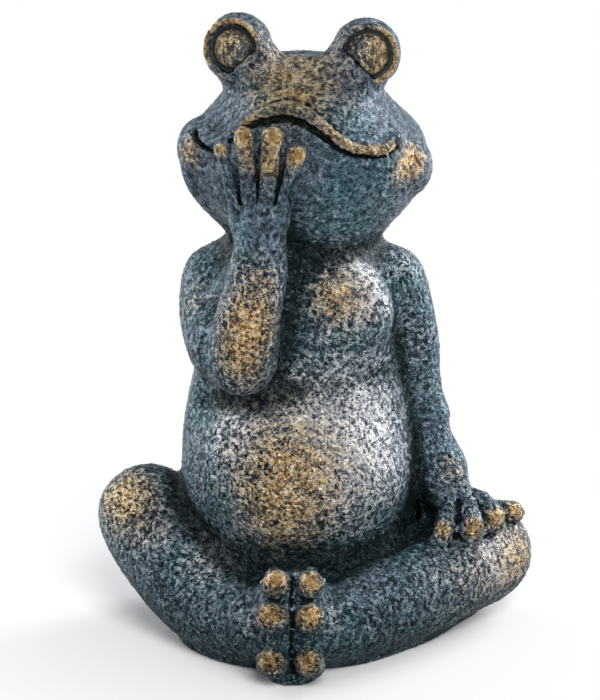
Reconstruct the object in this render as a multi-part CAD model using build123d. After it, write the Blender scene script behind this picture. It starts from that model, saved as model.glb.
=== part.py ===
"""Seated frog figurine, cast in parts and bonded on dowels.

Millimetres. +Z is up, the frog faces -Y, and its own left side is +X.
The origin is the middle of the base, on the surface that the figurine stands on.
A shares table holds places or radii as shares of the sizes that the piece follows.
"""

import os
from math import cos, pi, radians, sin

from build123d import *

os.makedirs("parts", exist_ok=True)

# Torso casting
torso_height = 138.0
torso_width = 82.0
torso_depth = 84.0
belly_width = 79.0
belly_depth = 72.0
belly_height = 76.0
chest_width = 35.0
chest_depth = 26.0
chest_height = 38.0
casting_wall = 6.0

# Head casting
head_height = 62.5
head_width = 84.0
head_depth = 64.0
jaw_lean = 2.2
crown_lean = 0.6
cheek_width = 18.0
cheek_depth = 24.0
cheek_height = 21.0
lip_thickness = 4.0
mouth_groove = 2.2

# Eyes
eye_spacing = 43.4
turret_diameter = 24.0
turret_depth = 21.0
socket_diameter = 17.6
socket_floor = 5.0
eyeball_diameter = 15.2
eyeball_bulge = 4.4
right_lid_offset = 6.0
left_lid_offset = 4.7
lid_gap = 0.8
eye_tilt = 0.9
right_eye_turn = 20.0
left_eye_turn = 4.0
eye_turn_up = 8.0
lid_slope = 45.0

# Arms
arm_thickness = 24.0
finger_thickness = 6.6
palm_width = 22.0
palm_depth = 12.0
palm_length = 24.0

# Legs and feet
knee_span = 117.0
leg_reach = 72.0
leg_height = 40.0
leg_thickness = 35.0
foot_line = -2.6
toe_spread = 12.4
toe_thickness = 8.6
toe_ball = 11.0
foot_width = 20.0
foot_depth = 27.0
foot_height = 38.0
foot_pad_diameter = 17.0
foot_pad_thickness = 3.5

# Base and fastenings
base_thickness = 4.0
base_ledge = 2.5
bond_gap = 0.15
plug_diameter = 13.0
plug_flange = 18.0
plug_flange_thickness = 1.6
plug_length = 9.0
dowel_diameter = 6.0
dowel_length = 14.0
overrun = 40.0

# Places and radii, as shares of the sizes above
section_points = 8
torso_section_shares = [
    # height, half width, front, back
    (0.00, 0.86, 0.72, 0.80),
    (0.10, 0.96, 0.92, 0.88),
    (0.25, 1.00, 1.02, 0.92),
    (0.40, 1.00, 1.04, 0.90),
    (0.51, 0.98, 1.00, 0.84),
    (0.61, 0.92, 0.88, 0.76),
    (0.71, 0.86, 0.80, 0.71),
    (0.81, 0.83, 0.77, 0.68),
    (0.90, 0.77, 0.70, 0.63),
    (0.96, 0.69, 0.62, 0.57),
    (1.00, 0.61, 0.54, 0.51),
]
cavity_top_share = 0.81
plug_place_share = 0.36
belly_place_shares = (-0.02, -0.27, 0.42)
chest_place_shares = (0.35, -0.47, 0.84)

head_section_shares = [
    (0.000, 0.600, 0.71, 0.66),
    (0.064, 0.675, 0.82, 0.69),
    (0.160, 0.800, 0.96, 0.74),
    (0.256, 0.912, 1.06, 0.80),
    (0.352, 0.980, 1.11, 0.83),
    (0.448, 1.000, 1.13, 0.84),
    (0.528, 0.975, 1.12, 0.84),
    (0.600, 0.910, 1.10, 0.83),
    (0.672, 0.810, 1.06, 0.81),
    (0.752, 0.700, 0.99, 0.78),
    (0.832, 0.610, 0.88, 0.72),
    (0.912, 0.520, 0.70, 0.62),
    (0.976, 0.350, 0.44, 0.42),
]
head_cavity_shares = (0.30, 0.80)
right_cheek_shares = (-0.81, -0.22, 0.52)
left_cheek_shares = (0.82, -0.22, 0.42)
# across the face, then up the head, from the right corner of the mouth to the left one
mouth_line_shares = [
    (-0.84, 0.630),
    (-0.79, 0.588),
    (-0.69, 0.572),
    (-0.56, 0.640),
    (-0.40, 0.725),
    (-0.26, 0.768),
    (-0.14, 0.779),
    (-0.02, 0.760),
    (0.10, 0.710),
    (0.23, 0.642),
    (0.37, 0.588),
    (0.54, 0.558),
    (0.68, 0.562),
    (0.76, 0.598),
]
eye_height_share = 1.055
eye_depth_share = -0.16

right_upper_arm_shares = [
    # across, front to back, up, then radius
    (-0.71, 0.00, 0.885, 0.95),
    (-0.715, -0.30, 0.825, 0.98),
    (-0.65, -0.64, 0.765, 0.94),
]
right_forearm_shares = [
    (-0.48, -0.84, 0.755, 1.00),
    (-0.44, -0.93, 0.840, 0.95),
    (-0.37, -0.97, 0.950, 0.85),
    (-0.32, -0.94, 1.060, 0.72),
    (-0.32, -0.91, 1.130, 0.72),
]
right_palm_shares = (-0.34, -0.90, 1.130)
# from knuckle to tip; the last value is the radius in finger thicknesses
right_finger_shares = [
    [(-0.43, -0.87, 1.15, 0.36), (-0.55, -0.88, 1.22, 0.35), (-0.645, -0.84, 1.285, 0.38)],
    [(-0.39, -0.92, 1.15, 0.44), (-0.43, -0.96, 1.24, 0.43), (-0.46, -0.94, 1.330, 0.49)],
    [(-0.29, -0.93, 1.15, 0.50), (-0.26, -0.98, 1.24, 0.53), (-0.22, -0.95, 1.325, 0.58)],
    [(-0.24, -0.90, 1.14, 0.48), (-0.13, -0.96, 1.22, 0.46), (-0.03, -0.98, 1.285, 0.57)],
]

left_arm_shares = [
    (0.78, 0.00, 0.885, 0.91),
    (0.89, 0.02, 0.780, 0.84),
    (0.95, 0.04, 0.640, 0.80),
    (1.05, 0.00, 0.510, 0.78),
    (1.145, -0.08, 0.420, 0.79),
    (1.25, -0.18, 0.345, 0.70),
    (1.32, -0.26, 0.305, 0.62),
]
left_palm_shares = (1.41, -0.26, 0.283)
left_finger_shares = [
    [(1.27, -0.30, 0.300, 0.50), (1.22, -0.46, 0.292, 0.48), (1.20, -0.57, 0.268, 0.56)],
    [(1.36, -0.32, 0.300, 0.50), (1.42, -0.40, 0.294, 0.48), (1.455, -0.476, 0.262, 0.58)],
    [(1.42, -0.26, 0.300, 0.50), (1.55, -0.25, 0.290, 0.48), (1.65, -0.26, 0.265, 0.58)],
    [(1.42, -0.18, 0.298, 0.48), (1.65, -0.07, 0.282, 0.46), (1.83, -0.03, 0.268, 0.54)],
]

# across in half knee spans, forward in leg reaches, up in leg heights, then radius
right_thigh_shares = [
    (-0.46, 0.20, 0.54, 0.90),
    (-0.68, 0.10, 0.64, 0.82),
    (-0.80, 0.03, 0.76, 0.76),
]
right_shin_shares = [
    (-0.900, 0.00, 0.890, 1.02),
    (-0.800, -0.13, 0.720, 1.03),
    (-0.690, -0.26, 0.580, 1.02),
    (-0.490, -0.45, 0.380, 0.95),
    (-0.320, -0.61, 0.335, 0.83),
    (-0.130, -0.78, 0.345, 0.66),
]
left_thigh_shares = [
    (0.46, 0.20, 0.52, 0.92),
    (0.76, 0.11, 0.52, 0.90),
    (1.00, 0.05, 0.51, 0.88),
]
left_shin_shares = [
    (1.085, 0.02, 0.530, 1.00),
    (0.920, -0.12, 0.500, 1.00),
    (0.680, -0.33, 0.450, 0.99),
    (0.420, -0.53, 0.400, 0.91),
    (0.240, -0.66, 0.370, 0.82),
    (0.050, -0.79, 0.350, 0.66),
]
# the foot's place is from the sole out, forward and up; a toe's is forward, up and size
toe_place_shares = [(0.91, 0.88, 0.88), (0.97, 0.60, 1.00), (0.98, 0.21, 0.94)]
toe_root_shares = [(0.70, 0.66), (0.70, 0.46), (0.70, 0.26)]
foot_place_shares = (0.55, 0.76, 0.48)
foot_pad_share = 0.86
shoulder_dowel_shares = (0.71, 0.00, 0.900)
hip_dowel_shares = (0.73, 0.10, 0.52)
dome_step_shares = (0.50, 0.86)
ellipsoid_step_shares = (-0.86, -0.50, 0.00, 0.50, 0.86)


def ring(plane, half_width, half_depth):
    """Oval outline in two halves, so that no lofted face closes on itself."""
    halves = [EllipticalCenterArc((0, 0), half_width, half_depth, start, arc_size=180) for start in (0, 180)]
    return plane * make_face(halves)


def ellipsoid(centre, width, depth, height):
    """Solid ellipsoid of three diameters, lofted from pole to pole."""
    middle = Vector(*centre)
    pole = Vector(0, 0, height / 2)
    rings = [Vertex(*(middle - pole))]
    for step in ellipsoid_step_shares:
        spread = (1 - step**2) ** 0.5 / 2
        rings.append(ring(Plane(middle + pole * step), spread * width, spread * depth).face())
    rings.append(Vertex(*(middle + pole)))
    return Part() + loft(rings)


def egg_section(level, half_width, front, back, shift=0):
    """Level outline, rounder towards the front or the back as its two depths say."""
    halves = []
    for depth, way in ((-front, 1), (back, -1)):
        points = []
        for step in range(section_points + 1):
            angle = pi * step / section_points
            points.append((shift + way * half_width * cos(angle), depth * sin(angle)))
        halves.append(Spline(*points, tangents=[(0, -way), (0, way)]))
    return Plane.XY.offset(level) * make_face(halves)


def head_lean(up):
    """Sideways lean of the head at a share of its height."""
    return jaw_lean + (crown_lean - jaw_lean) * up


def no_lean(up):
    """An upright body."""
    return 0 * up


def egg_sections(shares, foot, height, width, depth, inset=0, lean=no_lean):
    """Outlines of a body whose shares follow its height, width and depth."""
    return [
        egg_section(
            foot + up * height,
            across * width / 2 - inset,
            front * depth / 2 - inset,
            back * depth / 2 - inset,
            lean(up),
        )
        for up, across, front, back in shares
    ]


def limb(stations):
    """Round limb through (centre, radius) stations, with a dome at each end."""
    centres = [Vector(*centre) for centre, _ in stations]
    radii = [radius for _, radius in stations]
    last = len(stations) - 1
    ways = [(centres[min(i + 1, last)] - centres[max(i - 1, 0)]).normalized() for i in range(last + 1)]
    start, end = ways[0], ways[-1]
    cuts = []
    for step in reversed(dome_step_shares):
        cuts.append((centres[0] - start * radii[0] * step, start, radii[0] * (1 - step**2) ** 0.5))
    cuts += list(zip(centres, ways, radii))
    for step in dome_step_shares:
        cuts.append((centres[-1] + end * radii[-1] * step, end, radii[-1] * (1 - step**2) ** 0.5))
    side = start.cross(Vector(0, 0, 1) if abs(start.Z) < cos(radians(30)) else Vector(0, 1, 0))
    rings = [Vertex(*(centres[0] - start * radii[0]))]
    for centre, way, radius in cuts:
        side = (side - way * side.dot(way)).normalized()
        rings.append(ring(Plane(centre, x_dir=side, z_dir=way), radius, radius).face())
    rings.append(Vertex(*(centres[-1] + end * radii[-1])))
    return Part() + loft(rings)


def bead(points, thickness):
    """Round bead swept along a smooth line."""
    line = Spline(*points)
    return Part() + sweep(ring(Plane(line @ 0, z_dir=line % 0), thickness / 2, thickness / 2), path=line)


def on_torso(across, deep, up):
    """Point at shares of the torso's half width, half depth and height."""
    return (across * torso_width / 2, deep * torso_depth / 2, up * torso_height)


def on_head(across, deep, up):
    """Point at shares of the head's half width, half depth and height."""
    return (head_lean(up) + across * head_width / 2, deep * head_depth / 2, torso_height + up * head_height)


def on_leg(across, forward, up):
    """Point at shares of the half knee span, the leg's reach and its height."""
    return (across * knee_span / 2, forward * leg_reach, up * leg_height)


def follow(shares, place, thickness):
    """Stations of a limb from its shares table."""
    return [(place(*row[:3]), row[3] * thickness) for row in shares]


def dowel(centre, way):
    """Round bonding dowel, half in each casting."""
    return Plane(centre, z_dir=way) * Cylinder(dowel_diameter / 2, dowel_length)


def dowel_hole(centre, way):
    """Hole for a dowel with room for the adhesive."""
    return Plane(centre, z_dir=way) * Cylinder(dowel_diameter / 2 + bond_gap, dowel_length + 2 * bond_gap)


def make_body():
    """Belly, chest and back as one solid, before it is hollowed."""
    body = Part() + loft(egg_sections(torso_section_shares, 0, torso_height, torso_width, torso_depth))
    body += ellipsoid(on_torso(*belly_place_shares), belly_width, belly_depth, belly_height)
    across, deep, up = chest_place_shares
    for side in (-1, 1):
        body += ellipsoid(on_torso(side * across, deep, up), chest_width, chest_depth, chest_height)
    return body


def make_hollow():
    """Inside of the torso above the rebate that seats the base plate."""
    rows = [row for row in torso_section_shares if row[0] <= cavity_top_share]
    inset = casting_wall + base_ledge
    hollow = loft(egg_sections(rows, base_thickness, torso_height, torso_width, torso_depth, inset))
    return hollow + extrude(base_outline(casting_wall), base_thickness)


def base_outline(inset):
    """Outline of the torso's foot, drawn in by an inset."""
    return egg_sections(torso_section_shares[:1], 0, torso_height, torso_width, torso_depth, inset)[0]


def make_base_plate():
    """Plate that closes the torso, with a stepped hole for the filling plug."""
    plate = extrude(base_outline(casting_wall + bond_gap), base_thickness)
    hole = Cylinder(plug_diameter / 2 + bond_gap, 2 * overrun)
    hole += Cylinder(plug_flange / 2 + bond_gap, 2 * (plug_flange_thickness + bond_gap))
    return plate - plug_place() * hole


def plug_place():
    """Place of the plug, behind the middle of the base."""
    return Pos(0, plug_place_share * torso_depth / 2, 0)


def make_filling_plug():
    """Rubber stopper, flush with the base, through which the hollow takes sand."""
    low = (Align.CENTER, Align.CENTER, Align.MIN)
    plug = Cylinder(plug_flange / 2, plug_flange_thickness, align=low)
    plug += Cylinder(plug_diameter / 2, plug_length, align=low)
    return plug_place() * plug


def eye_frame(side):
    """Plane of an eye: its X points to the middle of the head, its Z out of the eye."""
    across, deep, up = on_head(0, eye_depth_share, eye_height_share)
    turn, lift = radians(left_eye_turn if side > 0 else right_eye_turn), radians(eye_turn_up)
    way = Vector(side * sin(turn) * cos(lift), -cos(turn) * cos(lift), sin(lift))
    inward = Vector(-side * cos(turn), -sin(turn), 0)
    return Plane((across + side * eye_spacing / 2, deep, up - side * eye_tilt), x_dir=inward, z_dir=way)


def above_lid(side, gap=0):
    """Half space of an eye that its slanting lower lid leaves open."""
    offset = (left_lid_offset if side > 0 else right_lid_offset) - gap
    inner = (Align.MAX, Align.CENTER, Align.CENTER)
    block = Box(2 * overrun, 2 * overrun, 2 * overrun, align=inner)
    return Rot(0, 0, side * lid_slope) * Pos(offset, 0, 0) * block


def make_socket(side):
    """Recess of an eye inside its rim."""
    low = (Align.CENTER, Align.CENTER, Align.MIN)
    recess = Pos(0, 0, socket_floor) * Cylinder(socket_diameter / 2, turret_depth, align=low)
    return eye_frame(side) * (recess & above_lid(side))


def make_eyeball(side):
    """Domed eyeball that stands on the floor of its socket."""
    dome = ellipsoid((0, 0, socket_floor), eyeball_diameter, eyeball_diameter, 2 * eyeball_bulge)
    low = (Align.CENTER, Align.CENTER, Align.MIN)
    front = Pos(0, 0, socket_floor) * Cylinder(socket_diameter, turret_depth, align=low)
    return eye_frame(side) * (dome & front & above_lid(side, lid_gap))


def mouth_path(face, raise_by):
    """Points of the mouth line laid on the face, raised above it by a length."""
    points = []
    for across, up in mouth_line_shares:
        x, _, z = on_head(across, 0, up)
        sight = Axis((x, -head_depth, z + raise_by), (0, 1, 0))
        hits = sorted(point.Y for point, _ in face.find_intersection_points(sight))
        points.append((x, hits[0], z + raise_by))
    return points


def make_head():
    """Wide head with cheeks, eye turrets, a lip roll and the mouth line under it."""
    size = (torso_height, head_height, head_width, head_depth)
    crown = Vertex(*on_head(0, 0, 1))
    skull = Part() + loft(egg_sections(head_section_shares, *size, lean=head_lean) + [crown])
    for place in (right_cheek_shares, left_cheek_shares):
        skull += ellipsoid(on_head(*place), cheek_width, cheek_depth, cheek_height)
    lip_line = mouth_path(skull, lip_thickness / 2)
    groove_line = mouth_path(skull, 0)
    for side in (-1, 1):
        skull += eye_frame(side) * ellipsoid((0, 0, 0), turret_diameter, turret_diameter, turret_depth)
    skull += bead(lip_line, lip_thickness)
    skull -= bead(groove_line, mouth_groove)
    for side in (-1, 1):
        skull -= make_socket(side)
    inner = [row for row in head_section_shares if head_cavity_shares[0] <= row[0] <= head_cavity_shares[1]]
    return skull - loft(egg_sections(inner, *size, casting_wall, head_lean))


def make_arm(limbs, palm, fingers):
    """Arm of one or two lofted limbs, a palm and a fan of fingers."""
    arm = palm
    for shares in limbs:
        arm += limb(follow(shares, on_torso, arm_thickness / 2))
    for shares in fingers:
        arm += limb(follow(shares, on_torso, finger_thickness))
    return arm


def make_leg(side, thigh, shin, body):
    """Folded leg seated on the body: thigh, shin and a foot on its edge with three round toes."""
    leg = limb(follow(shin, on_leg, leg_thickness / 2))
    leg += limb(follow(thigh, on_leg, leg_thickness / 2))
    leg -= body
    across = foot_line + side * toe_spread / 2
    inner, forward, up = foot_place_shares
    foot = (foot_line + side * inner * toe_spread / 2, -forward * leg_reach, up * leg_height)
    leg += ellipsoid(foot, foot_width, foot_depth, foot_height)
    for (forward, up, size), (root, root_up) in zip(toe_place_shares, toe_root_shares):
        start = (across, -root * leg_reach, root_up * leg_height)
        tip = (across, -forward * leg_reach, up * leg_height)
        leg += limb([(start, toe_thickness / 2), (tip, toe_thickness / 2)])
        leg += ellipsoid(tip, *[size * toe_ball] * 3)
    pad = Cylinder(foot_pad_diameter / 2, 2 * foot_pad_thickness)
    leg += Pos(foot_line, -foot_pad_share * leg_reach, 0) * pad
    floor = Box(4 * overrun, 8 * overrun, overrun, align=(Align.CENTER, Align.CENTER, Align.MAX))
    align = (Align.MIN if side > 0 else Align.MAX, Align.CENTER, Align.CENTER)
    half = Pos(foot_line, 0, 0) * Box(4 * overrun, 8 * overrun, 8 * overrun, align=align)
    return (leg - floor) & half


def mirrored(place, side):
    """The same place on the frog's right (-1) or left (+1)."""
    x, y, z = place
    return (side * x, y, z)


def main():
    """Builds the castings, seats each against those it is bonded to, and writes them."""
    body, head = make_body(), make_head()
    right_leg = make_leg(-1, right_thigh_shares, right_shin_shares, body)
    left_leg = make_leg(1, left_thigh_shares, left_shin_shares, body)
    right_palm = ellipsoid(on_torso(*right_palm_shares), palm_width, palm_depth, palm_length)
    left_palm = ellipsoid(on_torso(*left_palm_shares), palm_length, palm_width, palm_depth)
    right_arm = make_arm([right_upper_arm_shares, right_forearm_shares], right_palm, right_finger_shares)
    left_arm = make_arm([left_arm_shares], left_palm, left_finger_shares)
    right_arm = right_arm - body - head
    left_arm = left_arm - body - left_leg
    torso = body - make_hollow()

    neck = ((0, 0, torso_height), (0, 0, 1))
    right_shoulder = (mirrored(on_torso(*shoulder_dowel_shares), -1), (1, 0, 0))
    left_shoulder = (on_torso(*shoulder_dowel_shares), (1, 0, 0))
    right_hip = (mirrored(on_leg(*hip_dowel_shares), -1), (1, 0, 0))
    left_hip = (on_leg(*hip_dowel_shares), (1, 0, 0))
    for spot in (neck, right_shoulder, left_shoulder, right_hip, left_hip):
        torso -= dowel_hole(*spot)

    nodes = {
        "torso": torso,
        "head": head - dowel_hole(*neck),
        "right_eyeball": make_eyeball(-1),
        "left_eyeball": make_eyeball(1),
        "right_arm": right_arm - dowel_hole(*right_shoulder),
        "left_arm": left_arm - dowel_hole(*left_shoulder),
        "right_leg": right_leg - dowel_hole(*right_hip),
        "left_leg": left_leg - dowel_hole(*left_hip),
        "base_plate": make_base_plate(),
        "filling_plug": make_filling_plug(),
        "neck_dowel": dowel(*neck),
        "right_shoulder_dowel": dowel(*right_shoulder),
        "left_shoulder_dowel": dowel(*left_shoulder),
        "right_hip_dowel": dowel(*right_hip),
        "left_hip_dowel": dowel(*left_hip),
    }
    for name, shape in nodes.items():
        export_step(Part() + shape, f"parts/{name}.step")


main()
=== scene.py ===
import math

import bmesh
import bpy
import numpy as np
import openvdb as vdb
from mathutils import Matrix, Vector


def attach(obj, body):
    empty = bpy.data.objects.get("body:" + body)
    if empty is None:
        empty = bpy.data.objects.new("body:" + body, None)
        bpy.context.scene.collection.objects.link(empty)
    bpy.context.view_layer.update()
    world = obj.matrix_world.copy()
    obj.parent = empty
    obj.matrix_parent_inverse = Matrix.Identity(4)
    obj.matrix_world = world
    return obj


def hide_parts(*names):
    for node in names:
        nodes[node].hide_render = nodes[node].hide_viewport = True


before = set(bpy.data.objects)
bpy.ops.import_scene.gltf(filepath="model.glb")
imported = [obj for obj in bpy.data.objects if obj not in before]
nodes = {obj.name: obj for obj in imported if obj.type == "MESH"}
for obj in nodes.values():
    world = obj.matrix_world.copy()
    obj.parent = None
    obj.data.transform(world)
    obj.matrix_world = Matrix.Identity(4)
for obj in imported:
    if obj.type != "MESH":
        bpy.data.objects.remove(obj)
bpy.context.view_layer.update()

# The skin is worked out in millimetres, on one grid for all castings.
VOXEL = 0.7
BAND = 12
LOW = np.array([-78.0, -86.0, -4.2])
HIGH = np.array([88.0, 44.0, 224.0])
FIRST = tuple(int(v) for v in np.floor(LOW / VOXEL))
DIMS = tuple(int(v) for v in np.ceil((HIGH - LOW) / VOXEL))
AXES = [((FIRST[a] + np.arange(DIMS[a])) * VOXEL).astype(np.float32) for a in range(3)]
X, Y, Z = AXES[0][:, None, None], AXES[1][None, :, None], AXES[2][None, None, :]
GRID = vdb.createLinearTransform(VOXEL)
CASTINGS = ["torso", "head", "right_arm", "left_arm", "right_leg", "left_leg"]
SOFTEN = 0.7          # reach of the light smoothing of heads and limbs
TORSO_SOFTEN = 2.1
TORSO_FILLET, HEAD_FILLET, ARM_FILLET, LEG_FILLET, SEAM_FILLET = 7.0, 6.0, 1.5, 3.0, 1.5
BODY_STIPPLE, HEAD_STIPPLE = 0.17, 0.13
BASE_POCKET = 0.4     # room left round the base plate and its plug
RIM_DEPTH = 1.2       # how far a piece's edge runs in before it is closed

# The photograph's camera, in millimetres and in pixels of the image
IMAGE_WIDTH, IMAGE_HEIGHT = 600, 700
AIM = np.array([0.0, 0.0, 96.2])
REACH = 1500.0
TILT = math.radians(18.0)
PIXELS = 2.9
BACK = np.array([0.0, -math.cos(TILT), math.sin(TILT)])
RIGHT = np.array([1.0, 0.0, 0.0])
UP = np.array([0.0, math.sin(TILT), math.cos(TILT)])


def mesh_arrays(name):
    """Points in millimetres and triangles of a CAD node."""
    mesh = nodes[name].data
    points = np.empty(len(mesh.vertices) * 3, np.float32)
    mesh.vertices.foreach_get("co", points)
    mesh.calc_loop_triangles()
    triangles = np.empty(len(mesh.loop_triangles) * 3, np.int32)
    mesh.loop_triangles.foreach_get("vertices", triangles)
    return points.reshape(-1, 3) * 1000.0, triangles.reshape(-1, 3)


def distance(points, triangles=None, quads=None):
    """Signed distance of a closed mesh on the grid, cut off at the band."""
    faces = {"triangles": triangles} if quads is None else {"quads": quads}
    level = vdb.FloatGrid.createLevelSetFromPolygons(
        np.ascontiguousarray(points, np.float32), transform=GRID, halfWidth=BAND, **faces)
    field = np.empty(DIMS, np.float32)
    level.copyToArray(field, ijk=FIRST)
    return field


def skin(field, level=0.0):
    """Points and quads of the surface where the field has this level."""
    grid = vdb.FloatGrid(BAND * VOXEL)
    grid.copyFromArray(np.clip(field, -BAND * VOXEL, BAND * VOXEL), ijk=FIRST)
    grid.transform = GRID
    grid.gridClass = vdb.GridClass.LEVEL_SET
    return grid.convertToQuads(isovalue=level)


def closing(field, radius):
    """Rounds the inner corners of a field to a radius."""
    points, quads = skin(field, radius)
    return np.minimum(distance(points, quads=quads) + radius, field)


def join(a, b, blend):
    """Smooth union of two fields."""
    near = np.maximum(blend - np.abs(a - b), 0.0) / blend
    return np.minimum(a, b) - near * near * blend * 0.25


def step(value, low, high):
    """Smooth step from 0 to 1."""
    part = np.clip((value - low) / (high - low), 0.0, 1.0)
    return part * part * (3.0 - 2.0 * part)


def mix(a, b, share):
    return a + (b - a) * share


def blur(field, reach):
    """Box mean, twice, over a reach in millimetres."""
    steps = max(1, int(round(reach / VOXEL)))
    out = field
    for axis in (0, 1, 2, 0, 1, 2):
        pad = [(0, 0)] * 3
        pad[axis] = (steps + 1, steps)
        total = np.cumsum(np.pad(out, pad, mode="edge"), axis=axis, dtype=np.float64)
        width = 2 * steps + 1
        cut = [slice(None)] * 3
        cut[axis] = slice(width, None)
        upper = total[tuple(cut)]
        cut[axis] = slice(0, -width)
        out = ((upper - total[tuple(cut)]) / width).astype(np.float32)
    return out


def sample(field, points):
    """Trilinear value of a field at points in millimetres."""
    place = points / VOXEL - np.array(FIRST)
    base = np.clip(np.floor(place).astype(int), 0, np.array(DIMS) - 2)
    part = np.clip(place - base, 0.0, 1.0)
    total = np.zeros(len(points))
    for corner in range(8):
        move = np.array([corner & 1, corner >> 1 & 1, corner >> 2 & 1])
        weight = np.prod(np.where(move, part, 1.0 - part), axis=1)
        i, j, k = (base + move).T
        total += weight * field[i, j, k]
    return total


def slope(field, points):
    """Outward direction of a field at points."""
    moves = np.eye(3) * VOXEL
    way = np.stack([sample(field, points + m) - sample(field, points - m) for m in moves], axis=1)
    return way / np.maximum(np.linalg.norm(way, axis=1, keepdims=True), 1e-9)


def sight(field, pixels):
    """Points where the camera's rays through pixels meet the field's surface."""
    found = []
    steps = np.arange(REACH - 130.0, REACH + 130.0, 0.3)
    for u, v in pixels:
        way = -BACK + RIGHT * (u - IMAGE_WIDTH / 2) / (PIXELS * REACH)
        way = way + UP * (IMAGE_HEIGHT / 2 - v) / (PIXELS * REACH)
        path = AIM + BACK * REACH + steps[:, None] * way / np.linalg.norm(way)
        value = sample(field, path)
        hit = np.argmax(value < 0) if (value < 0).any() else np.argmin(value)
        found.append(path[hit])
    return np.array(found)


def trace(field, marks, push=0.0):
    """Points and radii of marks (u, v, radius) laid on a field, pushed out by a length."""
    marks = np.array(marks)
    points = sight(field, marks[:, :2])
    return points + slope(field, points) * push, marks[:, 2]


def marks_of(line):
    """Points and radii of a line of (x, y, z, radius)."""
    line = np.array(line)
    return line[:, :3], line[:, 3]


def stroke(points, radii):
    """Block of the grid round a round stroke, and the distance to it there."""
    margin = radii.max() + 4.0
    low = np.floor((points.min(axis=0) - margin) / VOXEL).astype(int) - np.array(FIRST)
    high = np.ceil((points.max(axis=0) + margin) / VOXEL).astype(int) - np.array(FIRST)
    block = tuple(slice(max(0, low[a]), min(DIMS[a], high[a])) for a in range(3))
    x, y, z = X[block[0]], Y[:, block[1]], Z[:, :, block[2]]
    best = np.float32(1e3)
    for i in range(max(1, len(points) - 1)):
        a, b = points[i], points[min(i + 1, len(points) - 1)]
        along = b - a
        length = max(float(along @ along), 1e-9)
        t = ((x - a[0]) * along[0] + (y - a[1]) * along[1] + (z - a[2]) * along[2]) / length
        t = np.clip(t, 0.0, 1.0)
        far = np.sqrt((x - a[0] - t * along[0]) ** 2 + (y - a[1] - t * along[1]) ** 2
                      + (z - a[2] - t * along[2]) ** 2)
        best = np.minimum(best, far - mix(radii[i], radii[min(i + 1, len(radii) - 1)], t))
    return block, best


def carve(field, marks, blend=0.6):
    """Cuts a round groove along points and radii."""
    block, far = stroke(*marks)
    field[block] = -join(-field[block], far, blend)


def swell(field, marks, blend=1.0):
    """Adds a round ridge along points and radii."""
    block, far = stroke(*marks)
    field[block] = join(field[block], far, blend)


def around(place, reach):
    """One at a place, falling to nothing at a reach."""
    far = np.sqrt((X - place[0]) ** 2 + (Y - place[1]) ** 2 + (Z - place[2]) ** 2) / reach
    return np.clip(1.0 - far, 0.0, 1.0)


def solid_inside(field):
    """Fills what lies enclosed on all six sides."""
    full = field < 0
    held = np.ones(DIMS, bool)
    for axis in range(3):
        held &= np.maximum.accumulate(full, axis=axis)
        held &= np.flip(np.maximum.accumulate(np.flip(full, axis), axis=axis), axis)
    return np.where(held & ~full, -BAND * VOXEL, field).astype(np.float32)


def grounded(field):
    """Carries a foot on below the floor, so that smoothing leaves its edge sharp."""
    layer = int(math.ceil(0.5 / VOXEL)) - FIRST[2]
    field[:, :, :layer] = field[:, :, layer:layer + 1]
    return field


# Eyes: centre, outward way, inward way and lid way of each
class Eye:
    def __init__(self, side, centre, turn, lid):
        turn, lift = math.radians(turn), math.radians(8.0)
        self.side = side
        self.centre = np.array(centre)
        self.way = np.array([side * math.sin(turn) * math.cos(lift),
                             -math.cos(turn) * math.cos(lift), math.sin(lift)])
        self.inward = np.array([-side * math.cos(turn), -math.sin(turn), 0.0])
        self.down = side * np.cross(self.way, self.inward)
        self.lid_way = (self.inward + self.down) / math.sqrt(2.0)
        self.lid = lid

    def fields(self):
        """Height above the eye's centre, distance from its axis and distance towards the lid."""
        p = [X - self.centre[0], Y - self.centre[1], Z - self.centre[2]]
        up = sum(p[a] * self.way[a] for a in range(3))
        lid = sum(p[a] * self.lid_way[a] for a in range(3))
        far = np.sqrt(np.maximum(p[0] ** 2 + p[1] ** 2 + p[2] ** 2 - up ** 2, 0.0))
        return up, far, lid


EYES = [Eye(-1, (-20.6, -5.12, 204.84), 20.0, 6.0), Eye(1, (22.21, -5.12, 203.04), 4.0, 4.7)]
SOCKET = 8.7
FLOOR = 5.0
TURRET_WIDE, TURRET_TALL = 12.0, 10.5
RING_RADIUS, RING_HEIGHT, RING_THICK = 9.6, 6.2, 0.9

fields = {}
base_hole = np.minimum(distance(*mesh_arrays("base_plate")), distance(*mesh_arrays("filling_plug")))
for name in CASTINGS:
    fields[name] = distance(*mesh_arrays(name))

torso = grounded(solid_inside(np.minimum(fields["torso"], base_hole)))
torso = blur(closing(torso, TORSO_FILLET), TORSO_SOFTEN)
fields["torso"] = torso

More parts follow.
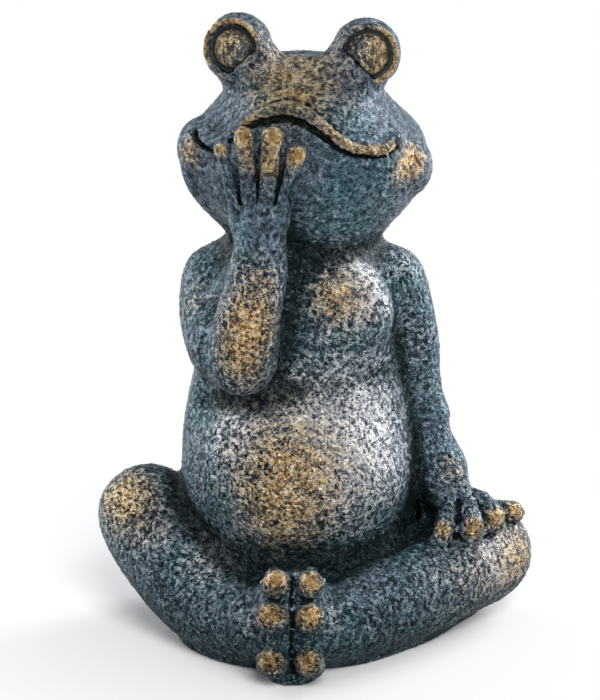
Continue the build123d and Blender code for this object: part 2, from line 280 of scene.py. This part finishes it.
# Head: sockets and mouth line are filled, corners rounded, then cut again in finer shape.
head = solid_inside(fields["head"])
for eye in EYES:
    up, far, lid = eye.fields()
    inner = np.sqrt((far / TURRET_WIDE) ** 2 + (up / TURRET_TALL) ** 2)
    outer = np.sqrt((far / TURRET_WIDE ** 2) ** 2 + (up / TURRET_TALL ** 2) ** 2)
    head = np.minimum(head, inner * (inner - 1.0) / np.maximum(outer, 1e-6))
head = mix(head, closing(head, HEAD_FILLET), 1.0 - 0.85 * step(Z, 194.0, 201.0))
head = blur(head, SOFTEN) + (0.2 + 0.7 * step(-X, 24.0, 30.0)) * step(Z, 197.0, 202.0)
CROWN = [(-11.0, -9.0, 197.0, 5.5), (11.0, -9.0, 197.0, 5.5)]
swell(head, marks_of(CROWN), 8.0)
MOUTH = [
    (197, 125, 1.0), (194.5, 131, 1.4), (195.5, 139, 1.4), (202, 146.5, 1.2), (212, 151, 1.0), (223, 147, 0.8),
    (233, 138, 0.9), (243, 129.5, 1.3), (253, 124.5, 1.6), (262, 121.8, 1.7), (272, 120, 1.7), (284, 119.2, 1.7),
    (294, 120.6, 1.65), (304, 124.6, 1.6), (312, 129.4, 1.5), (320, 135.5, 1.4), (328, 141.5, 1.35), (336, 147.5, 1.3),
    (344, 152, 1.25), (353, 155, 1.2), (363, 156.8, 1.15), (373, 157.2, 1.1), (383, 156.5, 1.05), (390, 154.3, 1.05),
    (395.5, 150, 1.1), (398.5, 144.5, 1.3), (398, 139, 1.1),
]
LIP_EDGE = [
    (246, 121, 0.5), (254, 112.5, 0.7), (263, 105.5, 0.8), (273, 101, 0.8), (283, 98.5, 0.8), (292, 98.5, 0.8),
    (302, 100.5, 0.8), (312, 106, 0.8), (322, 114.5, 0.8), (332, 125, 0.7), (342, 134, 0.6), (352, 141, 0.5),
]
LOWER_LIP = [
    (302, 131, 0.8), (312, 137, 1.1), (322, 144.5, 1.2), (332, 152, 1.2), (342, 157.5, 1.2), (352, 161, 1.2),
    (363, 163, 1.2), (374, 163.4, 1.1), (385, 162, 1.0), (394, 158, 0.8),
]
UPPER_LIP = [
    (246, 125.5, 0.9), (253, 118.5, 1.3), (262, 112.5, 1.7), (272, 108.8, 1.9), (282, 106.5, 2.0), (292, 107, 2.0),
    (302, 110, 2.0), (312, 116.5, 1.9), (322, 124.5, 1.8), (332, 133, 1.7), (342, 141, 1.6), (352, 146.8, 1.5),
    (362, 149.8, 1.4), (374, 150.6, 1.3), (384, 149.4, 1.2), (392, 146, 1.0),
]
mouth = trace(head, MOUTH, -0.9)
lip = trace(head, UPPER_LIP, -0.5)
swell(head, lip, 1.6)
swell(head, trace(head, LOWER_LIP, -0.7), 1.6)
carve(head, trace(head, LIP_EDGE, 0.3), 0.8)
carve(head, mouth, 0.8)
for eye in EYES:
    up, far, lid = eye.fields()
    ring = np.sqrt((far - RING_RADIUS) ** 2 + (up - RING_HEIGHT) ** 2) - RING_THICK
    head = join(head, np.maximum(ring, lid - eye.lid - 1.2), 1.0)
    socket = np.maximum(np.maximum(far - SOCKET, FLOOR - up), lid - eye.lid)
    head = -join(-head, socket, 0.5)
fields["head"] = head

for name in ("right_arm", "left_arm"):
    limb = fields[name]
    keep = step(Z, 144.0, 152.0) if name == "right_arm" else 1.0 - step(Z, 44.0, 52.0)
    fields[name] = blur(mix(closing(limb, ARM_FILLET), limb, keep), SOFTEN)
for name in ("right_leg", "left_leg"):
    limb = grounded(fields[name])
    keep = 1.0 - step(Y, -58.0, -48.0)
    fields[name] = blur(mix(closing(limb, LEG_FILLET), limb, keep), SOFTEN)

# The rim of the soles is lowered, so that the toes stand above it.
SOLE_EDGE = [
    (259, 584, 1.6), (266, 573, 2.4), (278, 567.5, 2.8), (292, 566.5, 3.0), (306, 567.5, 2.8), (318, 573, 2.4),
    (325, 584, 1.6),
]
SOLE_DEPTHS = (0.0, 2.0, 4.0, 6.0, 8.0)
edge, edge_radii = trace(np.minimum(fields["right_leg"], fields["left_leg"]), SOLE_EDGE)
for name in ("right_leg", "left_leg"):
    for deep in SOLE_DEPTHS:
        carve(fields[name], (edge + np.array([0.0, deep, 0.0]), edge_radii), 1.5)

body = join(fields["torso"], fields["head"], 3.0)
body = join(body, fields["right_leg"], 1.6 + 3.0 * around((-45, 12, 25), 26))
body = join(body, fields["left_leg"], 1.6 + 6.0 * around((44, 10, 38), 30))
body = join(body, fields["left_arm"], 1.2 + 8.0 * around((32, 0, 126), 30) + 5.0 * around((42, 4, 52), 16))
body = join(body, fields["right_arm"], 0.9 + 8.0 * around((-29, 2, 126), 28))

# The hip is filled out and the seams are closed, away from hands and feet.
HIP = [(38.0, 12.0, 34.0, 8.0), (45.0, 8.0, 43.0, 7.0), (42.0, 1.0, 46.0, 4.6), (40.8, -0.5, 34.0, 4.8)]
swell(body, marks_of(HIP), 4.0)
apart = np.maximum(step(Z, 148.0, 154.0), 1.0 - step(Y, -58.0, -48.0))
apart = np.maximum(apart, step(X, 44.0, 48.0) * step(Z, 30.0, 34.0) * (1.0 - step(Z, 48.0, 54.0)))
body = mix(closing(body, SEAM_FILLET), body, apart)

# Fingers that run on over the palms, the gaps between them and the valleys of the left hand, as (x, y, z, radius)
FINGERS = [
    [(-21.8, -42.5, 160.0, 1.8), (-23.3, -41.5, 166.0, 1.9), (-25.3, -38.0, 174.0, 1.8), (-26.2, -36.0, 177.8, 2.0)],
    [(-16.8, -44.0, 160.0, 2.5), (-17.2, -43.6, 166.0, 2.7), (-17.8, -41.8, 174.0, 2.7), (-18.6, -39.8, 183.0, 2.9)],
    [(-11.2, -44.2, 160.0, 2.7), (-10.8, -43.8, 166.0, 3.0), (-9.9, -42.2, 174.0, 3.2), (-9.1, -40.2, 182.6, 3.5)],
    [(-7.0, -43.4, 160.0, 2.0), (-5.0, -43.0, 167.0, 1.8), (-2.6, -42.4, 173.5, 1.9), (-1.3, -41.6, 177.5, 3.0)],
    [(53.0, -8.0, 46.0, 2.5), (51.4, -15.5, 44.8, 2.8), (49.4, -23.2, 38.6, 3.3)],
    [(55.4, -8.0, 46.4, 2.5), (58.2, -14.6, 45.4, 2.9), (59.7, -20.2, 39.6, 3.4)],
    [(57.4, -6.6, 46.4, 2.5), (63.2, -9.8, 45.0, 2.9), (67.6, -11.8, 39.9, 3.4)],
    [(58.2, -4.8, 43.0, 2.3), (66.0, -2.8, 39.9, 2.6), (74.0, -2.0, 38.2, 3.2)],
]
GAPS = [
    [(-22.9, -38.5, 180.0, 1.5), (-22.1, -42.0, 173.5, 1.2), (-20.6, -44.0, 165.5, 0.9), (-19.6, -45.0, 161.0, 0.6)],
    [(-14.0, -41.0, 187.5, 1.6), (-14.0, -44.4, 173.5, 0.85), (-14.1, -46.0, 165.5, 0.5), (-14.2, -46.6, 161.0, 0.3)],
    [(-5.4, -42.0, 180.5, 1.3), (-5.8, -44.4, 173.5, 1.1), (-7.2, -45.6, 166.0, 0.9), (-8.4, -46.0, 161.0, 0.6)],
]
GAP_DEPTHS = (0.0, 1.2, 2.4, 3.6)
VALLEYS = [
    [(53.9, -12.5, 47.6, 1.2), (54.7, -18.5, 43.6, 2.0), (54.6, -24.5, 38.6, 2.3)],
    [(57.6, -10.2, 47.8, 1.2), (61.6, -14.2, 43.4, 2.0), (64.6, -18.4, 38.8, 2.4)],
    [(60.0, -6.4, 47.6, 1.2), (66.0, -7.2, 43.4, 2.0), (72.4, -7.6, 38.8, 2.4)],
    [(60.0, -3.5, 49.6, 4.2), (66.5, -3.5, 47.0, 4.2), (76.0, -3.0, 46.0, 4.2)],
    [(60.0, 2.5, 49.6, 4.2), (66.5, 2.5, 47.0, 4.2), (76.0, 2.5, 46.0, 4.2)],
]
PALM = [(-26.8, -40.0, 148.0, 3.0), (-27.0, -40.0, 156.0, 4.0), (-28.0, -38.0, 162.0, 3.0)]
# Folds, soles and toes by pixel (u, v, radius)
BELLY_FOLD = [(207, 402, 3.0), (243, 405, 3.4), (285, 394, 3.6), (320, 388, 3.6), (355, 382, 3.4), (392, 373, 2.6)]
SOLES = [(292, 572, 1.0), (291.5, 590, 0.8), (291, 612, 0.6), (291, 634, 0.7), (291, 650, 0.6)]
TOES = [(276, 583, 4.6), (311.5, 584, 4.2), (270, 618, 5.1), (310, 620, 5.0), (270, 663, 4.9), (308, 664, 4.6)]
for line in VALLEYS + [PALM]:
    carve(body, marks_of(line), 1.8)
for line in FINGERS:
    swell(body, marks_of(line), 0.7)
for line in GAPS:
    places, radii = marks_of(line)
    for deep in GAP_DEPTHS:
        carve(body, (places + np.array([0.0, deep, 0.0]), radii), 0.5)
carve(body, trace(fields["torso"], BELLY_FOLD, 2.2), 3.0)
carve(body, trace(body, SOLES, -0.3), 0.6)
for u, v, radius in TOES:
    ball = sight(body, [(u, v)]) - BACK * (radius - 0.3)
    swell(body, (ball, np.array([radius])), 0.5)

# Stipple: dents and ridges about two millimetres across, lower on the head
rough = np.random.default_rng(7).standard_normal(DIMS, np.float32)
relief = rough * mix(BODY_STIPPLE, HEAD_STIPPLE, step(Z, 146.0, 160.0)).astype(np.float32)
smooth = blur(body, SOFTEN) + relief
body += relief
for field in (body, smooth):
    np.maximum(field, -Z, out=field)
    np.maximum(field, BASE_POCKET - base_hole, out=field)

points, quads = skin(body)
points = np.asarray(points, np.float64)
quads = np.asarray(quads, np.int64)
# How enclosed each point is, near and far; this drives the painted shade in creases and between the parts.
solid = np.clip(0.5 - body / (2 * VOXEL), 0.0, 1.0)
hollow = sample(blur(solid, 1.4), points)
broad = sample(blur(solid, 11.2), points)
ridge = np.clip(0.5 - 0.45 * sample(rough, points), 0.0, 1.0)

# Gold dry brush: pixel, reach in millimetres and strength
GOLD = [
    (292, 470, 27, 0.62), (285, 522, 15, 0.40), (340, 297, 13, 0.60), (250, 325, 13, 0.72), (240, 362, 11, 0.55),
    (258, 280, 9, 0.35), (122, 495, 15, 0.62), (150, 525, 15, 0.25), (518, 556, 14, 0.60), (470, 580, 18, 0.28),
    (188, 152, 7, 0.50), (413, 158, 7, 0.75), (402, 172, 7, 0.45), (220, 147, 3.4, 0.85), (244, 135, 4.4, 1.00),
    (246, 158, 6, 0.40), (273, 137, 4.8, 1.00), (270, 164, 7, 0.60), (297, 155, 4.0, 1.00), (444, 529, 3.8, 0.75),
    (475, 528, 4.2, 0.90), (497, 518, 4.2, 1.00), (516, 510, 4.2, 0.85), (276, 580, 5.2, 0.95), (311, 581, 5.0, 0.95),
    (270, 614, 5.6, 0.95), (310, 616, 5.6, 0.95), (270, 660, 5.4, 0.95), (308, 660, 5.4, 0.95), (298, 74, 24, 0.50),
    (290, 100, 10, 0.35), (192, 300, 10, 0.28), (455, 470, 8, 0.30),
]
# Painted highlights, a pale sheen where the light falls: pixel, reach in millimetres and strength
PAINTED_SHEEN = [
    (350, 438, 32, 0.85), (235, 430, 18, 0.45), (360, 284, 15, 0.85), (276, 296, 7, 0.40), (208, 562, 15, 0.46),
    (330, 618, 8, 0.40), (250, 618, 8, 0.30), (408, 262, 11, 0.35), (505, 562, 16, 0.80), (440, 592, 16, 0.15),
    (368, 108, 18, 0.12), (292, 76, 16, 0.42), (215, 90, 10, 0.18), (415, 330, 10, 0.22), (200, 300, 10, 0.16),
]
BARE_GOLD = 0.05


def brushed(spots, base):
    """Coverage of a dry brush, or of a painted highlight, at each point of the skin."""
    spots = np.array(spots, float)
    places = sight(body, spots[:, :2])
    left = np.full(len(points), 1.0 - base)
    for place, reach, power in zip(places, spots[:, 2], spots[:, 3]):
        far = np.linalg.norm(points - place, axis=1) / reach
        left *= 1.0 - power * np.exp(-1.3 * far ** 2)
    return 1.0 - left


def near_line(line, reach):
    """One on a line of points, falling to nothing at a reach."""
    best = np.full(len(points), 1e3)
    for a, b in zip(line[:-1], line[1:]):
        t = np.clip(((points - a) @ (b - a)) / ((b - a) @ (b - a)), 0.0, 1.0)
        best = np.minimum(best, np.linalg.norm(points - a - t[:, None] * (b - a), axis=1))
    return step(-best, -reach, -0.4 * reach)


gold = brushed(GOLD, BARE_GOLD)
# Painted highlight: a pale sheen laid into the skin's colour.
painted_sheen = brushed(PAINTED_SHEEN, 0.0)
gold = np.maximum(gold, 0.6 * near_line(lip[0], 3.2))
for eye in EYES:
    p = points - eye.centre
    up = p @ eye.way
    far = np.sqrt(np.maximum((p * p).sum(axis=1) - up ** 2, 0.0))
    on_rim = step(-np.abs(np.hypot(far - 9.5, up - 7.0)), -1.8, -0.6) * (p @ eye.lid_way < eye.lid)
    # Gold is heavier on one side of each eye: gold paint, partly a painted highlight.
    lit = step(p[:, 2] - p[:, 0] * 0.6, -4.0, 8.0) if eye.side < 0 else step(p[:, 0] - p[:, 2] * 0.3, -6.0, 6.0)
    gold = np.maximum(gold, on_rim * (0.30 + 0.5 * lit))

# A face belongs to the casting that it is nearest to.
centres = points[quads].mean(axis=1)
owner = np.argmin(np.stack([sample(fields[name], centres) for name in CASTINGS]), axis=0)
facing = np.cross(points[quads[:, 2]] - points[quads[:, 0]], points[quads[:, 3]] - points[quads[:, 1]])
length = np.maximum(np.linalg.norm(facing, axis=1, keepdims=True), 1e-9)
if np.mean(sample(body, centres + facing / length * VOXEL)) < 0:
    quads = quads[:, ::-1]
outward = slope(smooth, points)


def make_piece(name, faces):
    """Closed mesh of one casting's share of the skin."""
    used, packed = np.unique(faces, return_inverse=True)
    packed = packed.reshape(-1, 4)
    mesh = bpy.data.meshes.new(name + "_skin")
    mesh.from_pydata((points[used] * 0.001).tolist(), [], packed.tolist())
    shell = bmesh.new()
    shell.from_mesh(mesh)
    rim = [edge for edge in shell.edges if edge.is_boundary]
    grown = bmesh.ops.extrude_edge_only(shell, edges=rim)["geom"]
    shell.verts.index_update()
    source = list(range(len(used)))
    for vert in sorted((g for g in grown if isinstance(g, bmesh.types.BMVert)), key=lambda v: v.index):
        start = min(edge.other_vert(vert).index for edge in vert.link_edges)
        source.append(start)
        vert.co -= Vector(outward[used[start]]) * RIM_DEPTH * 0.001
    edges = [edge for edge in shell.edges if edge.is_boundary]
    filled = bmesh.ops.holes_fill(shell, edges=edges, sides=0)
    bmesh.ops.triangulate(shell, faces=filled["faces"])
    shell.to_mesh(mesh)
    shell.free()
    used = used[source]
    for key, values in (("hollow", hollow), ("broad", broad), ("ridge", ridge), ("gold", gold), ("painted_sheen", painted_sheen)):
        layer = mesh.attributes.new(key, "FLOAT", "POINT")
        layer.data.foreach_set("value", values[used].astype(np.float32))
    mesh.shade_smooth()
    mesh.normals_split_custom_set_from_vertices([tuple(v) for v in outward[used]])
    piece = bpy.data.objects.new(name + "_skin", mesh)
    bpy.context.scene.collection.objects.link(piece)
    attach(piece, "root")
    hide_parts(name)
    return piece


pieces = {name: make_piece(name, quads[owner == k]) for k, name in enumerate(CASTINGS)}


TURNS = 128
DOME_HEIGHT = 4.2


def make_eyeball(eye, name, radius):
    """Domed eyeball in a moat with a fine ring, cut off along the lid."""
    profile = [(1.5, 0.0), (1.5, 0.5), (1.25, 0.9), (1.0, 0.5), (0.3, 0.4), (0.0, 0.6)]
    profile = [(radius + far, height) for far, height in profile]
    arc = np.linspace(0.12, math.pi / 2 - 0.04, 18)
    profile += [(radius * math.cos(a), 0.6 + DOME_HEIGHT * math.sin(a)) for a in arc]
    across = np.cross(eye.way, eye.lid_way)
    shell = bmesh.new()
    lit = shell.verts.layers.float.new("gold")
    moat_shade = shell.verts.layers.float.new("hollow")
    rings = []
    for reach, height in profile:
        ring = []
        for k in range(TURNS):
            angle = 2 * math.pi * k / TURNS
            toward = reach * math.cos(angle)
            limit = eye.lid - 0.5
            shrink = min(1.0, limit / toward) if toward > limit else 1.0
            low = height * (0.35 + 0.65 * shrink)
            away = eye.lid_way * reach * shrink * math.cos(angle) + across * reach * shrink * math.sin(angle)
            vert = shell.verts.new((eye.centre + eye.way * (FLOOR + low) + away) * 0.001)
            # Dome gold lies on one side only: gold strokes, partly a painted highlight.
            side = away[2] * 0.5 - away[0] if eye.side < 0 else away[0] * 1.1 - away[2] * 0.2
            vert[lit] = float(step(side, -6.0, 6.0)) if reach <= radius else 0.0
            # Marks the moat for painted shade, and the top of its fine ring for less.
            vert[moat_shade] = 0.0 if reach < radius else 0.35 if 1.2 < reach - radius < 1.3 else 1.0
            ring.append(vert)
        rings.append(ring)
    for low, high in zip(rings[:-1], rings[1:]):
        for k in range(TURNS):
            shell.faces.new((low[k], low[(k + 1) % TURNS], high[(k + 1) % TURNS], high[k]))
    shell.faces.new(list(reversed(rings[0])))
    shell.faces.new(rings[-1])
    bmesh.ops.remove_doubles(shell, verts=shell.verts, dist=1e-6)
    bmesh.ops.recalc_face_normals(shell, faces=shell.faces)
    mesh = bpy.data.meshes.new(name + "_dome")
    shell.to_mesh(mesh)
    shell.free()
    mesh.shade_smooth()
    piece = bpy.data.objects.new(name + "_dome", mesh)
    bpy.context.scene.collection.objects.link(piece)
    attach(piece, "root")
    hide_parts(name)
    return piece


eyeballs = [make_eyeball(EYES[0], "right_eyeball", 6.5), make_eyeball(EYES[1], "left_eyeball", 7.1)]


# Materials
class Nodes:
    """Short way to write a node tree."""

    def __init__(self, name):
        self.material = bpy.data.materials.new(name)
        self.material.use_nodes = True
        self.tree = self.material.node_tree
        self.tree.nodes.clear()
        self.out = self.tree.nodes.new("ShaderNodeOutputMaterial")

    def put(self, socket, value):
        if hasattr(value, "is_output"):
            self.tree.links.new(value, socket)
        else:
            socket.default_value = value

    def node(self, kind, settings=None, **inputs):
        made = self.tree.nodes.new("ShaderNode" + kind)
        for key, value in (settings or {}).items():
            setattr(made, key, value)
        for key, value in inputs.items():
            self.put(made.inputs[int(key[1:]) if key[1:].isdigit() else key.replace("_", " ")], value)
        return made

    def math(self, operation, a, b=0.0, c=0.0):
        return self.node("Math", {"operation": operation}, i0=a, i1=b, i2=c).outputs[0]

    def ramp(self, value, low, high):
        return self.node("MapRange", {"interpolation_type": "SMOOTHSTEP"}, i0=value, i1=low, i2=high).outputs[0]

    def noise(self, place, scale, detail=2.0, roughness=0.5):
        return self.node("TexNoise", Vector=place, Scale=scale, Detail=detail, Roughness=roughness).outputs[0]

    def mix(self, factor, a, b):
        made = self.node("Mix", {"data_type": "RGBA"})
        for socket, value in ((made.inputs[0], factor), (made.inputs[6], a), (made.inputs[7], b)):
            self.put(socket, value)
        return made.outputs[2]

    def colours(self, value, stops):
        made = self.node("ValToRGB", i0=value)
        elements = made.color_ramp.elements
        for k, (place, colour) in enumerate(stops):
            element = elements[k] if k < 2 else elements.new(place)
            element.position = place
            element.color = colour + (1.0,)
        return made.outputs[0]

    def attribute(self, name):
        return self.node("Attribute", {"attribute_name": name}).outputs["Fac"]

    def principled(self, **inputs):
        shader = self.node("BsdfPrincipled", **inputs)
        self.tree.links.new(shader.outputs[0], self.out.inputs[0])
        return shader


def bronze():
    """Dark verdigris paint with fine pits, a gold dry brush and a painted highlight that keep to the ridges, and
    painted shade in creases, between the parts and towards the bottom.
    """
    n = Nodes("verdigris_bronze")
    place = n.node("TexCoord").outputs["Object"]
    altitude = n.node("SeparateXYZ", Vector=place).outputs[2]

    def crinkle(scale):
        """Winding ridges with a finer grain."""
        grain = n.ramp(n.noise(place, scale * 2.0, 1.0, 0.6), 0.33, 0.68)
        ridges = n.math("ABSOLUTE", n.math("SUBTRACT", n.noise(place, scale, 1.5), 0.5))
        return n.math("MULTIPLY_ADD", n.ramp(ridges, 0.15, 0.0), 0.55, n.math("MULTIPLY", grain, 0.45))

    body_part = n.ramp(altitude, 0.160, 0.140)
    fine = n.node("Mix", i0=body_part, i2=crinkle(1500.0), i3=crinkle(1150.0)).outputs[0]
    both = n.math("MULTIPLY_ADD", n.attribute("ridge"), 0.55, n.math("MULTIPLY", fine, 0.45))
    height = n.node("Mix", i0=body_part, i2=n.math("MULTIPLY_ADD", both, 1.1, -0.02),
                    i3=n.math("MULTIPLY_ADD", both, 1.35, -0.17)).outputs[0]
    hollow, broad = n.attribute("hollow"), n.attribute("broad")
    flecks = n.ramp(n.noise(place, 620.0, 2.0), 0.36, 0.64)
    wear = n.math("MULTIPLY_ADD", n.noise(place, 160.0, 3.0), 0.5, 0.75)
    bare = n.attribute("gold")
    gold = n.math("MULTIPLY", bare, n.math("MULTIPLY", wear, n.math("MULTIPLY_ADD", flecks, 0.5, 0.72)))
    # Painted highlight: the pale sheen, varied by the same noise as the gold.
    painted_sheen = n.math("MULTIPLY", n.attribute("painted_sheen"), wear)
    # Painted shade: darker in creases and between the parts, where shade falls.
    painted_shade = n.math("MULTIPLY", n.ramp(broad, 0.49, 0.62), 0.88)
    painted_shade = n.math("MAXIMUM", painted_shade, n.math("MULTIPLY", n.ramp(hollow, 0.53, 0.66), 0.95))
    # Painted shade towards the bottom: darker low down.
    low = n.ramp(altitude, 0.040, 0.006)
    painted_shade = n.math("MAXIMUM", painted_shade, n.math("MULTIPLY", low, 0.42))
    # Teal patina in patches, and more of it where the painted shade lies.
    patches = n.math("MAXIMUM", n.ramp(n.noise(place, 48.0, 3.0), 0.42, 0.68), n.ramp(painted_shade, 0.0, 0.6))
    slate = n.colours(height, [(0.08, (0.002, 0.004, 0.006)), (0.34, (0.022, 0.036, 0.052)),
                               (0.52, (0.078, 0.113, 0.152)), (0.72, (0.200, 0.280, 0.355)),
                               (1.0, (0.42, 0.51, 0.60))])
    teal = n.colours(height, [(0.08, (0.001, 0.005, 0.007)), (0.34, (0.013, 0.054, 0.066)),
                              (0.52, (0.042, 0.130, 0.152)), (0.72, (0.125, 0.290, 0.330)),
                              (1.0, (0.30, 0.54, 0.58))])
    even = n.math("MULTIPLY_ADD", height, 0.36, 0.30)
    level = n.node("Mix", i0=n.ramp(bare, 0.75, 0.95), i2=height, i3=even).outputs[0]
    leaf = n.colours(level, [(0.08, (0.010, 0.007, 0.004)), (0.34, (0.22, 0.130, 0.052)),
                             (0.52, (0.50, 0.315, 0.130)), (0.72, (0.88, 0.63, 0.32)), (1.0, (1.0, 0.90, 0.68))])
    pale = n.colours(height, [(0.08, (0.015, 0.018, 0.023)), (0.34, (0.27, 0.285, 0.315)),
                              (0.52, (0.52, 0.54, 0.57)), (0.72, (0.90, 0.91, 0.94)), (1.0, (1.0, 1.0, 1.0))])
    colour = n.mix(n.math("MULTIPLY", patches, 0.6), slate, teal)
    # The painted highlight (pale) and the gold dry brush (leaf) are laid over the ridges first.
    for cover, paint in ((painted_sheen, pale), (gold, leaf)):
        over = n.math("SUBTRACT", n.math("MULTIPLY_ADD", height, 0.7, n.math("MULTIPLY", cover, 1.12)), 0.92)
        colour = n.mix(n.ramp(over, -0.36, 0.42), colour, paint)
    # The painted shade darkens the colour towards black.
    colour = n.mix(painted_shade, colour, n.mix(0.93, colour, (0.0, 0.0, 0.0, 1)))
    bump = n.node("Bump", Strength=1.0, Distance=0.0005, Height=fine)
    rough = n.node("MapRange", i0=height, i1=0.2, i2=0.9, i3=0.46, i4=0.27).outputs[0]
    metal = n.math("MULTIPLY_ADD", n.ramp(gold, 0.3, 1.0), 0.2, 0.55)
    shader = n.principled(Base_Color=colour, Roughness=rough, Metallic=metal, Normal=bump.outputs[0])
    shader.inputs["Specular IOR Level"].default_value = 0.25
    return n.material


def eye_bronze():
    """Smoother dark bronze with painted shade in the moat, and gold drawn over one side in upright strokes, partly a
    painted highlight.
    """
    n = Nodes("brushed_eye")
    place = n.node("TexCoord").outputs["Object"]
    drawn = n.node("Mapping", Vector=place, Scale=(1.0, 1.0, 0.45)).outputs[0]
    strokes = n.ramp(n.noise(drawn, 800.0, 3.0, 0.6), 0.32, 0.68)
    grain = n.ramp(n.noise(place, 2200.0, 1.0, 0.6), 0.32, 0.68)
    height = n.math("MULTIPLY_ADD", grain, 0.42, n.math("MULTIPLY", strokes, 0.58))
    dark = n.colours(height, [(0.1, (0.006, 0.008, 0.010)), (0.5, (0.040, 0.046, 0.052)), (1.0, (0.20, 0.21, 0.22))])
    leaf = n.colours(height, [(0.1, (0.016, 0.012, 0.008)), (0.45, (0.17, 0.115, 0.055)), (0.7, (0.48, 0.35, 0.18)),
                              (1.0, (0.82, 0.70, 0.50))])
    over = n.math("SUBTRACT", n.math("MULTIPLY_ADD", n.attribute("gold"), 0.62, height), 0.86)
    tone = n.mix(n.ramp(over, -0.25, 0.25), dark, leaf)
    # Painted shade: the moat darkened to near black, its fine ring less so.
    tone = n.mix(n.attribute("hollow"), tone, (0.003, 0.004, 0.005, 1))
    bump = n.node("Bump", Strength=0.8, Distance=0.0003, Height=height)
    shader = n.principled(Base_Color=tone, Normal=bump.outputs[0])
    shader.inputs["Roughness"].default_value = 0.34
    shader.inputs["Metallic"].default_value = 0.3
    return n.material


def plain(name, colour, roughness, scale, depth):
    """Mottled material for the pieces underneath and inside."""
    n = Nodes(name)
    place = n.node("TexCoord").outputs["Object"]
    grain = n.noise(place, scale, 5.0)
    bump = n.node("Bump", Strength=0.5, Distance=depth, Height=grain)
    tone = n.mix(grain, tuple(c * 0.6 for c in colour) + (1,), colour + (1,))
    shader = n.principled(Base_Color=tone, Normal=bump.outputs[0])
    shader.inputs["Roughness"].default_value = roughness
    return n.material


skin_material, eye_material = bronze(), eye_bronze()
wood = plain("dowel_wood", (0.62, 0.45, 0.27), 0.6, 300.0, 0.0002)
rubber = plain("stopper_rubber", (0.03, 0.03, 0.03), 0.7, 900.0, 0.0001)
resin = plain("bare_resin", (0.09, 0.1, 0.1), 0.6, 500.0, 0.0002)
for piece in pieces.values():
    piece.data.materials.append(skin_material)
for piece in eyeballs:
    piece.data.materials.append(eye_material)
for name, node in nodes.items():
    finish = wood if name.endswith("dowel") else rubber if name == "filling_plug" else resin
    if name in pieces or name.endswith("eyeball"):
        finish = skin_material
    node.data.materials.clear()
    node.data.materials.append(finish)


# Stage, light and camera
def soft_light(name, place, size, power, colour=(1, 1, 1)):
    lamp = bpy.data.lights.new(name, "AREA")
    lamp.shape = "RECTANGLE"
    lamp.size, lamp.size_y = size
    lamp.energy = power
    lamp.color = colour
    holder = bpy.data.objects.new(name, lamp)
    holder.location = place
    holder.rotation_euler = (Vector((0, 0, 0.1)) - Vector(place)).to_track_quat("-Z", "Y").to_euler()
    bpy.context.scene.collection.objects.link(holder)


FLOOR_REACH = 6.0
floor_mesh = bpy.data.meshes.new("floor")
corners = [(-1, -1), (1, -1), (1, 1), (-1, 1)]
floor_mesh.from_pydata([(FLOOR_REACH * x, FLOOR_REACH * y, 0) for x, y in corners], [], [(0, 1, 2, 3)])
floor = bpy.data.objects.new("floor", floor_mesh)
floor.location.z = -0.0002
bpy.context.scene.collection.objects.link(floor)
n = Nodes("pale_floor")
path = n.node("LightPath").outputs
tone = n.mix(path["Is Camera Ray"], (0.45, 0.45, 0.45, 1), (0.95, 0.95, 0.95, 1))
shader = n.node("BsdfPrincipled", Base_Color=tone, Roughness=0.9)
away = n.node("VectorMath", {"operation": "LENGTH"}, i0=n.node("TexCoord").outputs["Object"]).outputs[1]
seen = n.math("MAXIMUM", path["Is Camera Ray"], n.math("MAXIMUM", path["Is Glossy Ray"], path["Is Transmission Ray"]))
bright = n.node("MixShader", i0=n.math("MULTIPLY", seen, n.ramp(away, 0.05, 0.17)), i1=shader.outputs[0],
                i2=n.node("Emission", Color=(1, 1, 1, 1), Strength=1.0).outputs[0])
n.tree.links.new(bright.outputs[0], n.out.inputs[0])
floor.data.materials.append(n.material)

world = bpy.data.worlds.new("studio")
bpy.context.scene.world = world
world.use_nodes = True
world.node_tree.nodes["Background"].inputs[0].default_value = (1, 1, 1, 1)
world.node_tree.nodes["Background"].inputs[1].default_value = 0.22

soft_light("key", (0.30, -1.15, 0.95), (0.7, 0.7), 17.5)
soft_light("left_side", (-0.80, 0.65, 0.40), (0.5, 0.9), 8, (0.95, 0.97, 1.0))
soft_light("right_side", (0.80, 0.65, 0.40), (0.5, 0.9), 13, (0.95, 0.97, 1.0))

SENSOR = 24.0
camera = bpy.data.cameras.new("camera")
holder = bpy.data.objects.new("camera", camera)
bpy.context.scene.collection.objects.link(holder)
bpy.context.scene.camera = holder
target = Vector(AIM * 0.001)
holder.location = Vector((AIM + BACK * REACH) * 0.001)
holder.rotation_euler = (target - holder.location).to_track_quat("-Z", "Y").to_euler()
camera.sensor_fit = "VERTICAL"
camera.sensor_height = SENSOR
camera.lens = SENSOR * REACH / (IMAGE_HEIGHT / PIXELS)
camera.clip_end = 30.0

bpy.context.scene.view_settings.view_transform = "Standard"
